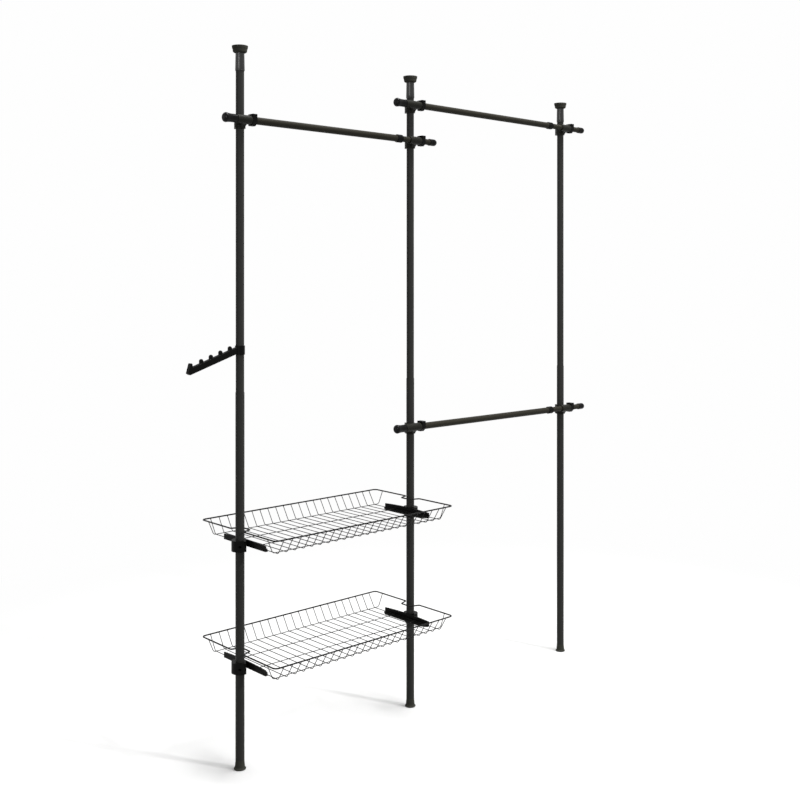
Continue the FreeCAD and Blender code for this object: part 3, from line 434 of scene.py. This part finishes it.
def ring_mesh(name, rings, tips=None):
    """Join rings of points into a closed surface.

    rings has the shape (pieces, rows, columns, 3). Point (i, j) is joined to (i, j+1), (i+1, j+1) and
    (i+1, j), and columns close round. Rows close round too, unless tips, of the shape (pieces, 2, 3), gives
    the end points that the first and the last ring are drawn to by triangles.
    """
    pieces, rows, columns, _ = rings.shape
    joined_rows = rows if tips is None else rows - 1
    row, column = np.meshgrid(np.arange(joined_rows), np.arange(columns), indexing="ij")
    following = (column + 1) % columns
    above = (row + 1) % rows
    quads = np.stack([row * columns + column, row * columns + following,
                      above * columns + following, above * columns + column], axis=-1).reshape(-1, 4)
    points = rings.reshape(pieces, -1, 3)
    fans = np.empty((0, 3), int)
    if tips is not None:
        points = np.concatenate([points, tips], axis=1)
        here = np.arange(columns)
        there = (here + 1) % columns
        last = (rows - 1) * columns
        first_fan = np.stack([np.full(columns, rows * columns), there, here], axis=-1)
        last_fan = np.stack([np.full(columns, rows * columns + 1), last + here, last + there], axis=-1)
        fans = np.concatenate([first_fan, last_fan])
    shift = np.arange(pieces)[:, None, None] * points.shape[1]
    corners = np.concatenate([(quads + shift).ravel(), (fans + shift).ravel()])
    sizes = np.concatenate([np.full(pieces * len(quads), 4), np.full(pieces * len(fans), 3)])
    mesh = bpy.data.meshes.new(name)
    mesh.vertices.add(points.size // 3)
    mesh.vertices.foreach_set("co", points.ravel())
    mesh.loops.add(len(corners))
    mesh.loops.foreach_set("vertex_index", corners)
    mesh.polygons.add(len(sizes))
    mesh.polygons.foreach_set("loop_start", np.cumsum(sizes) - sizes)
    mesh.update(calc_edges=True)
    mesh.polygons.foreach_set("use_smooth", np.ones(len(sizes), bool))
    mesh.set_sharp_from_angle(angle=crease)
    return mesh


def add_piece(mesh, body, slot, *replaced):
    """Put a mesh into the scene as a piece that moves with a body, in place of the named nodes."""
    piece = bpy.data.objects.new(mesh.name, mesh)
    bpy.context.scene.collection.objects.link(piece)
    mesh.materials.append(finishes[slot])
    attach(piece, body)
    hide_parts(*replaced)
    print(mesh.name, len(mesh.polygons), "faces")


# %% [markdown]
# ## Bent wire
# A basket wire is a straight rod, bent over a former at each corner, so it is straight runs joined by
# round arcs. A curve object with a bevel could draw it, but its corners come from handles that are hard
# to set to a real bend radius. Here a circle is carried along the exact line. All wires of a basket lie
# flat in a plane, and that plane keeps the circle from twisting.

# %% Lines with round bends
def bent_line(corners, radii, closed=False, steps=7):
    """Points and directions along straight runs that are joined by arcs.

    Where the direction turns from a to b by the angle w, let n = (b - a cos w)/sin w. The arc of radius r has
    its centre at corner - a r tan(w/2) + n r. At the share s of the turn the direction is
    (a sin((1-s)w) + b sin(sw))/sin w, and the point is the centre minus r times that direction, turned a
    quarter towards the centre.
    """
    corners = np.asarray(corners, float)
    runs = np.diff(corners, axis=0, append=corners[:1]) if closed else np.diff(corners, axis=0)
    runs = runs / np.linalg.norm(runs, axis=1, keepdims=True)
    a, b = (np.roll(runs, 1, axis=0), runs) if closed else (runs[:-1], runs[1:])
    middle = corners if closed else corners[1:-1]
    w = np.arccos(np.sum(a * b, axis=1))[:, None]
    r = np.asarray(radii, float)[:, None]
    n = (b - a * np.cos(w)) / np.sin(w)
    centre = (middle - a * r * np.tan(w / 2) + n * r)[:, None]
    s = np.linspace(0, 1, steps)[:, None]
    a, b, w, r = a[:, None], b[:, None], w[:, None], r[:, None]
    direction = (a * np.sin((1 - s) * w) + b * np.sin(s * w)) / np.sin(w)
    inwards = (b * np.cos(s * w) - a * np.cos((1 - s) * w)) / np.sin(w)
    points = (centre - r * inwards).reshape(-1, 3)
    direction = direction.reshape(-1, 3)
    if not closed:
        points = np.concatenate([corners[:1], points, corners[-1:]])
        direction = np.concatenate([runs[:1], direction, runs[-1:]])
    return points, direction


elbow, heading = bent_line([(0, 0, 0), (50, 0, 0), (50, 50, 0)], [12])
print("a bend of 12 mm at x = 50 mm leaves the straight run at x =", np.round(elbow[1, 0], 2))

# %% Rods along a line
def round_ends(points, direction, radius):
    """Round off a rod: at r(1 - cos v) from its tip the rod's radius is r sin v. Gives also the two tips."""
    v = np.radians([30, 60, 90])
    back = radius * (1 - np.cos(v))
    grown = radius * np.sin(v)
    first = points[..., :1, :] + back[:, None] * direction[..., :1, :]
    last = points[..., -1:, :] - back[::-1, None] * direction[..., -1:, :]
    tips = points[..., [0, -1], :]
    middle = points.shape[-2] - 2
    radii = np.concatenate([grown, np.full(middle, radius), grown[::-1]])
    points = np.concatenate([first, points[..., 1:-1, :], last], axis=-2)
    direction = direction[..., [0] * len(v) + list(range(1, middle + 1)) + [-1] * len(v), :]
    return points, direction, radii, tips


def rod_rings(points, direction, radii, flat, columns=10):
    """Circles square to a line in the plane whose normal is flat.

    A circle is point + r (cos v (flat x direction) + sin v flat), with v once round.
    """
    v = np.linspace(0, 2 * np.pi, columns, endpoint=False)[:, None]
    flat = np.asarray(flat, float)
    side = np.cross(flat, direction)[..., None, :]
    return points[..., None, :] + np.asarray(radii)[..., None, None] * (np.cos(v) * side + np.sin(v) * flat)


elbow, heading, radii, _ = round_ends(elbow, heading, 1.3)
print("as a rod the bend has", len(rod_rings(elbow, heading, radii, (0, 0, 1))), "rings")

# %% [markdown]
# ## Basket rims
# The rim is one 5 mm wire with round corners. In the middle of each short side it is bent inwards round
# the pole, which keeps the basket from sliding off its arms. The line has twelve bends, and it closes on
# itself, so the surface has no ends at all.

# %% Rim wires
pole_x = np.array([-776, 0, 903]) * mm
lower_tube_radius = 15 * mm
upper_tube_radius = 14 * mm
half_bay = (pole_x[1] - pole_x[0]) / 2
basket_x = (pole_x[0] + pole_x[1]) / 2
rim_height = {"upper": 794 * mm, "lower": 390 * mm}
rim_radius = 2.5 * mm
rim_past_pole = 12 * mm
half_length = half_bay + rim_past_pole
half_width = 215 * mm
notch_clearance = 6.5 * mm
notch_slope = 13 * mm
notch_y = lower_tube_radius + notch_clearance + rim_radius
notch_x = half_bay - notch_y
notch_mouth = notch_y + notch_slope
corner_bend = 14 * mm
notch_bend = 7 * mm

right_end = np.array([(half_length, -half_width, 0), (half_length, -notch_mouth, 0), (notch_x, -notch_y, 0),
                      (notch_x, notch_y, 0), (half_length, notch_mouth, 0), (half_length, half_width, 0)])
rim_line = np.concatenate([right_end, right_end * (-1, -1, 1)])
rim_bends = np.tile([corner_bend, *[notch_bend] * 4, corner_bend], 2)
for level, height in rim_height.items():
    points, direction = bent_line(rim_line + (basket_x, 0, height), rim_bends, closed=True)
    rings = rod_rings(points, direction, np.full(len(points), rim_radius), (0, 0, 1), columns=14)
    mesh = ring_mesh(f"{level}_rim_wire", rings[None])
    add_piece(mesh, f"{level}_basket", "basket_wire", f"{level}_basket_rim")

# %% [markdown]
# ## Cross wires and long wires
# Twenty-two cross wires make the floor and both long walls of a basket: each runs down from the rim,
# along the floor and up to the rim again. Four long wires lie on them. The outer two rise to the rim at
# both ends, and the inner two stop short of the arms. One cross wire is worked out, and the array of
# places along the basket turns it into all twenty-two.

# %% Cross wires
wire_radius = 1.3 * mm
wire_count = 22
basket_depth = 50 * mm
basket_inset = 32 * mm
bend = 12 * mm
clamp_radius = 20.6 * mm
slide_gap = 0.3 * mm
wire_overhang = 1.9 * mm
rim_bite = 1.2 * mm
floor_edge = half_width - basket_inset
wall_start = floor_edge - bend
tie_end = half_bay - clamp_radius - slide_gap
cross_x = np.linspace(-1, 1, wire_count) * (tie_end - wire_overhang)

wall_climb = np.array([0, basket_inset, basket_depth])
foot = np.array([0, floor_edge, -basket_depth])
top = foot + (1 - rim_bite / np.linalg.norm(wall_climb)) * wall_climb
mirrored = np.array([1, -1, 1])
points, direction = bent_line([top * mirrored, foot * mirrored, foot, top], [bend, bend])
points, direction, radii, cross_tips = round_ends(points, direction, wire_radius)
cross_rings = rod_rings(points, direction, radii, (1, 0, 0))
cross_places = cross_x[:, None] * np.array([1, 0, 0])
print(wire_count, "cross wires,", np.round((cross_x[1] - cross_x[0]) / mm, 1), "mm apart")

# %% Long wires
weld_sink = 0.3 * mm
climb_share = 0.97
long_z = 2 * wire_radius - weld_sink - basket_depth
long_y = np.array([-1, 1]) * (wall_start + wire_radius)
tie_y = np.array([-1, 1]) * wall_start / 3

turn = tie_end + bend
long_foot = np.array([turn, 0, long_z])
long_top = long_foot + climb_share * np.array([half_length - turn, 0, -long_z])
backwards = np.array([-1, 1, 1])
long_corners = [long_top * backwards, long_foot * backwards, long_foot, long_top]
points, direction = bent_line(long_corners, [bend, bend])
points, direction, radii, long_tips = round_ends(points, direction, wire_radius)
long_rings = rod_rings(points, direction, radii, (0, 1, 0))
long_places = long_y[:, None] * np.array([0, 1, 0])

tie = np.array([[-tie_end, 0, long_z], [tie_end, 0, long_z]])
points, direction, radii, tie_tips = round_ends(tie, np.tile([1.0, 0, 0], (2, 1)), wire_radius)
tie_rings = rod_rings(points, direction, radii, (0, 1, 0))
tie_places = tie_y[:, None] * np.array([0, 1, 0])
print("long wires lie", np.round((long_z + basket_depth) / mm, 1), "mm above the cross wires")

# %% Both baskets
wire_kinds = {"cross_wires": (cross_rings, cross_tips, cross_places),
              "edge_wires": (long_rings, long_tips, long_places),
              "floor_wires": (tie_rings, tie_tips, tie_places)}
for level, height in rim_height.items():
    for name, (rings, tips, places) in wire_kinds.items():
        shift = places + np.array([basket_x, 0, height])
        mesh = ring_mesh(f"{level}_{name}", rings[None] + shift[:, None, None], tips[None] + shift[:, None])
        add_piece(mesh, f"{level}_basket", "basket_wire", f"{level}_basket_mesh")

# %% [markdown]
# ## Weld spots
# Where two wires cross they were pressed together hot, and the steel bulged out into the corners. Each
# spot is a flattened ball, with only a few faces because there are well over a hundred. One array holds
# the places: all crossings of cross wires with long wires, and the wires' ends under the rim.

# %% Weld spots
def balls(centres, radii, columns=8):
    """Flattened balls: centre + (a sin v cos u, b sin v sin u, -c cos v), with a point at both poles."""
    v = np.radians([45, 90, 135])[:, None]
    u = np.linspace(0, 2 * np.pi, columns, endpoint=False)
    ball = np.stack([np.sin(v) * np.cos(u), np.sin(v) * np.sin(u), -np.cos(v) + 0 * u], axis=-1)
    poles = np.array([(0, 0, -1), (0, 0, 1)])
    return centres[:, None, None] + radii * ball, centres[:, None] + radii * poles


weld_size = np.array([1.9, 1.9, 1.35]) * mm
weld_rise = 0.85 * wire_radius
rim_weld_in = 1.4 * mm
rim_weld_drop = 2.2 * mm
weld_y = np.concatenate([long_y, tie_y])
crossings = np.stack(np.meshgrid(cross_x, weld_y, [weld_rise - basket_depth], indexing="ij"), axis=-1)
rim_y = (half_width - rim_weld_in) * np.array([-1, 1])
rim_welds = np.stack(np.meshgrid(cross_x, rim_y, [-rim_weld_drop], indexing="ij"), axis=-1)
welds = np.concatenate([crossings.reshape(-1, 3), rim_welds.reshape(-1, 3)])
for level, height in rim_height.items():
    mesh = ring_mesh(f"{level}_weld_spots", *balls(welds + (basket_x, 0, height), weld_size))
    add_piece(mesh, f"{level}_basket", "basket_wire", f"{level}_basket_mesh")

# %% [markdown]
# ## Jack screws
# Inside each twist sleeve a steel screw carries the ceiling cap. Turning the sleeve once lifts the cap by
# 8 mm, so the thread has a lead of 8 mm. A screw could be made by sweeping a tooth along a helix, which
# leaves ends to close. Here the radius is simply a function of height and angle, and one grid gives the
# whole rod.

# %% Threaded jack screws
sides = ("left", "middle", "right")
screw_radius = 8 * mm
lead = 8 * mm
thread_depth = 1.1 * mm
crest_edge = 0.35
root_edge = 0.65
screw_chamfer = 1.5 * mm
row_step = 0.5 * mm


def threaded_rod(low, high, columns=36):
    """Rings whose radius rises and falls along a helix.

    The share p of a thread at height z and angle u is z/lead + u/(2 pi), less its whole part. The tooth is
    flat outside for |2p - 1| below the crest's edge, flat inside above the root's edge and straight
    between. Both ends have a chamfer.
    """
    z = np.linspace(low, high, int((high - low) / row_step))[:, None]
    u = np.linspace(0, 2 * np.pi, columns, endpoint=False)
    p = np.mod(z / lead + u / (2 * np.pi), 1)
    tooth = np.clip((root_edge - np.abs(2 * p - 1)) / (root_edge - crest_edge), 0, 1)
    r = screw_radius - thread_depth * (1 - tooth)
    from_end = np.minimum(z - low, high - z)
    r = np.minimum(r, screw_radius - screw_chamfer + from_end)
    rings = np.stack([r * np.cos(u), r * np.sin(u), z + 0 * u], axis=-1)
    return rings, np.array([(0, 0, low), (0, 0, high)])


for side, x in zip(sides, pole_x):
    low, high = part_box(f"{side}_jack_screw")
    rings, ends = threaded_rod(low.z, high.z)
    mesh = ring_mesh(f"{side}_threaded_screw", rings[None] + (x, 0, 0), ends[None] + (x, 0, 0))
    add_piece(mesh, f"{side}_cap", "fastener", f"{side}_jack_screw")

# %% [markdown]
# ## Twist sleeves
# The sleeve is turned by hand to drive the screw. It tapers upwards and ends below in a lip, which shows
# in the photo as a thin bright line, so the lip needs round edges and a groove above it to catch the
# light. A Bevel modifier would round all edges alike. Here the profile runs up the outside, over the top
# and down the bore, with each round edge drawn in, and turning it about the pole gives a closed ring.

# %% Turned sleeves
# Radii and heights of the profile, in millimetres from the pole's axis and the sleeve's foot.
sleeve_height = 59
tube_bore = 14.3
screw_bore = 8.1
shelf_height = 24.3
bore_edge = 0.5
foot_edge = 0.2
lip_round = 0.6
lip_centre = 15.25
lip_top = 1.6
groove = (15.4, 2.6)
wall_foot = (15.8, 3.2)
wall_top = (14.8, 57.6)
top_round = 0.9
top_centre = 13.85


def round_edge(centre, start, radius, steps=5):
    """A quarter circle round the centre (r, z) from the angle start, in degrees, turning left."""
    v = np.radians(start + np.linspace(0, 90, steps))
    return np.array(centre) + radius * np.stack([np.cos(v), np.sin(v)], axis=-1)


def sleeve_rings(foot_z, columns=64):
    """A profile (r, z) turned about the pole: (r cos u, r sin u, foot + z)."""
    outside = [[(tube_bore + foot_edge, 0)], round_edge((lip_centre, lip_round), -90, lip_round),
               round_edge((lip_centre, lip_top), 0, lip_round), [groove], np.linspace(wall_foot, wall_top, 6),
               round_edge((top_centre, sleeve_height - top_round), 0, top_round)]
    bore = [(screw_bore + bore_edge, sleeve_height), (screw_bore, sleeve_height - bore_edge),
            (screw_bore, shelf_height), (tube_bore, shelf_height), (tube_bore, foot_edge)]
    profile = np.concatenate([*outside, bore]) * mm
    u = np.linspace(0, 2 * np.pi, columns, endpoint=False)
    r, z = profile[:, :1], profile[:, 1:]
    return np.stack([r * np.cos(u), r * np.sin(u), foot_z + z + 0 * u], axis=-1)


for side, x in zip(sides, pole_x):
    foot_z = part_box(f"{side}_twist_sleeve")[0].z
    mesh = ring_mesh(f"{side}_turned_sleeve", sleeve_rings(foot_z)[None] + (x, 0, 0))
    add_piece(mesh, f"{side}_sleeve", "sleeve_plastic", f"{side}_twist_sleeve")

# %% [markdown]
# ## Clamp bolts
# The collars and the basket clamps are closed by small bolts with a round head and a hexagon socket. From
# the front they are a pixel or two, but they are what a hand looks for when it takes the wardrobe apart.
# The shape is a turned profile again. Only in the socket does the radius follow a hexagon, whose edge is
# at half its width across flats divided by the cosine of the angle from the middle of a side.

# %% Socket head bolts
shank_radius = 1.5 * mm
shank_chamfer = 0.4 * mm
head_profile = np.array([(2.55, 0), (2.75, 0.25), (2.75, 1.8), (2.3, 2.5), (1.6, 2.5)]) * mm
socket_flats = 2.5 * mm
socket_rows = np.array([2.3, 1.0]) * mm
socket_taper = 0.98
socket_point = 0.6 * mm


def bolt_rings(heads, outwards, lengths, columns=24):
    """Bolts along X, as rows of rings from the shank's end over the head down into the socket.

    heads gives each point under the head, outwards is +1 or -1 where the head looks, and lengths are the
    shanks'. A row at the height h and radius r is head + (outwards h, outwards r cos u, r sin u).
    """
    u = np.linspace(0, 2 * np.pi, columns, endpoint=False)
    hexagon = socket_flats / 2 / np.cos(np.mod(u + np.pi / 6, np.pi / 3) - np.pi / 6)
    shank_r = [shank_radius - shank_chamfer, shank_radius, shank_radius]
    turned_r = np.append(shank_r, head_profile[:, 0])
    r = np.concatenate([turned_r[:, None] + 0 * u, [hexagon, socket_taper * hexagon]])
    shank_rows = np.stack([-lengths, shank_chamfer - lengths, 0 * lengths], axis=-1)
    head_rows = np.append(head_profile[:, 1], socket_rows)
    high = np.concatenate([shank_rows, np.tile(head_rows, (len(heads), 1))], axis=1)
    out = outwards[:, None, None]
    rings = np.stack([out * high[:, :, None] + 0 * u, r * np.cos(u) * out, r * np.sin(u) + 0 * out], axis=-1)
    tips = np.zeros((len(heads), 2, 3))
    tips[:, 0, 0] = -outwards * lengths
    tips[:, 1, 0] = outwards * socket_point
    return rings + heads[:, None, None], tips + heads[:, None]


def add_bolts(name, body, node, heads, outwards, lengths):
    """Put a set of bolts into the scene as one piece, in place of a node."""
    rings, tips = bolt_rings(heads, outwards, lengths)
    add_piece(ring_mesh(name, rings, tips), body, "fastener", node)


print("sockets take a key of", socket_flats / mm, "mm")

# %% [markdown]
# ## Where the bolts sit
# A collar bolt goes through the two lugs behind the pole, half way up the collar, and all collars have
# their heads on the right. An arm's two bolts sit in front of and behind the pole, and their heads look
# away from the basket. Bolts that move together are one piece, as their nodes in the frame are.

# %% Collar bolts
rail_height = {"left": 2153 * mm, "top": 2288 * mm, "low": 1067 * mm}
collar_drop = 7.5 * mm
lug_half = 9 * mm
lug_back = 5.625 * mm


def collar_heads(crossings):
    """Points under the heads of collar bolts, from (pole x, tube radius, rail height) of each crossing."""
    x, tube, z = np.array(crossings).T
    return np.stack([x + lug_half, tube + lug_back, z - collar_drop], axis=-1)


upper_heads = collar_heads([(pole_x[0], upper_tube_radius, rail_height["left"]),
                            (pole_x[1], upper_tube_radius, rail_height["left"]),
                            (pole_x[1], upper_tube_radius, rail_height["top"])])
add_bolts("upper_socket_bolts", "upper_frame", "upper_frame_bolts",
          upper_heads, np.ones(3), np.full(3, 2 * lug_half))

right_collars = {"top": ("right_upper", upper_tube_radius), "low": ("right_lower", lower_tube_radius)}
for rail, (body, tube) in right_collars.items():
    head = collar_heads([(pole_x[2], tube, rail_height[rail])])
    add_bolts(f"right_{rail}_socket_bolt", body, f"right_{rail}_collar_bolt",
              head, np.ones(1), np.full(1, 2 * lug_half))

# %% Basket arm bolts
ear_y = 22.85 * mm
ear_wall = 6 * mm
bolt_end = 1 * mm

arm_heights = np.array(list(rim_height.values())) - basket_depth - wire_radius - slide_gap
arm_grid = np.meshgrid(pole_x[:2], [-ear_y, ear_y], arm_heights, indexing="ij")
arm_heads = np.stack(arm_grid, axis=-1).reshape(-1, 3)
arm_out = np.where(arm_heads[:, 0] < basket_x, -1.0, 1.0)
arm_heads[:, 0] += arm_out * ear_wall
arm_lengths = np.full(len(arm_heads), 2 * ear_wall + bolt_end)
low_head = collar_heads([(pole_x[1], lower_tube_radius, rail_height["low"])])
add_bolts("lower_socket_bolts", "lower_frame", "lower_frame_bolts", np.concatenate([arm_heads, low_head]),
          np.append(arm_out, 1.0), np.append(arm_lengths, 2 * lug_half))

# %% [markdown]
# ## Beads on the basket arms
# The photo shows a thin bright line on the side of a basket arm. It starts at the top edge and curves
# down to the tip: a stiffening bead, moulded on the web. It is a half-sunk rod along a parabola. Both
# ends of all four arms have one, so the eight lines are one array, made from signs for left or right and
# for front or back.

# %% Stiffening beads
bead_radius = 1.1 * mm
web_face = 16.6 * mm
bead_start = 48 * mm
bead_run = 68 * mm
bead_top = 16.5 * mm
bead_drop = 17.5 * mm

s = np.linspace(0, 1, 15)
signs = np.meshgrid([1, -1], [-1, 1], arm_heights, indexing="ij")
sign_x, sign_y, arm_z = (array.reshape(-1, 1) for array in signs)
face_x = np.where(sign_x > 0, pole_x[0], pole_x[1]) + sign_x * web_face
bead_y = sign_y * (bead_start + bead_run * s)
bead_z = arm_z + bead_top - bead_drop * s**2
points = np.stack([face_x + 0 * s, bead_y, bead_z], axis=-1)
direction = np.stack([0 * bead_y, sign_y * bead_run + 0 * s, 0 * sign_y - 2 * bead_drop * s], axis=-1)
direction = direction / np.linalg.norm(direction, axis=-1, keepdims=True)
points, direction, radii, tips = round_ends(points, direction, bead_radius)
mesh = ring_mesh("arm_stiffening_beads", rod_rings(points, direction, radii, (1, 0, 0)), tips)
add_piece(mesh, "lower_frame", "moulded_plastic")
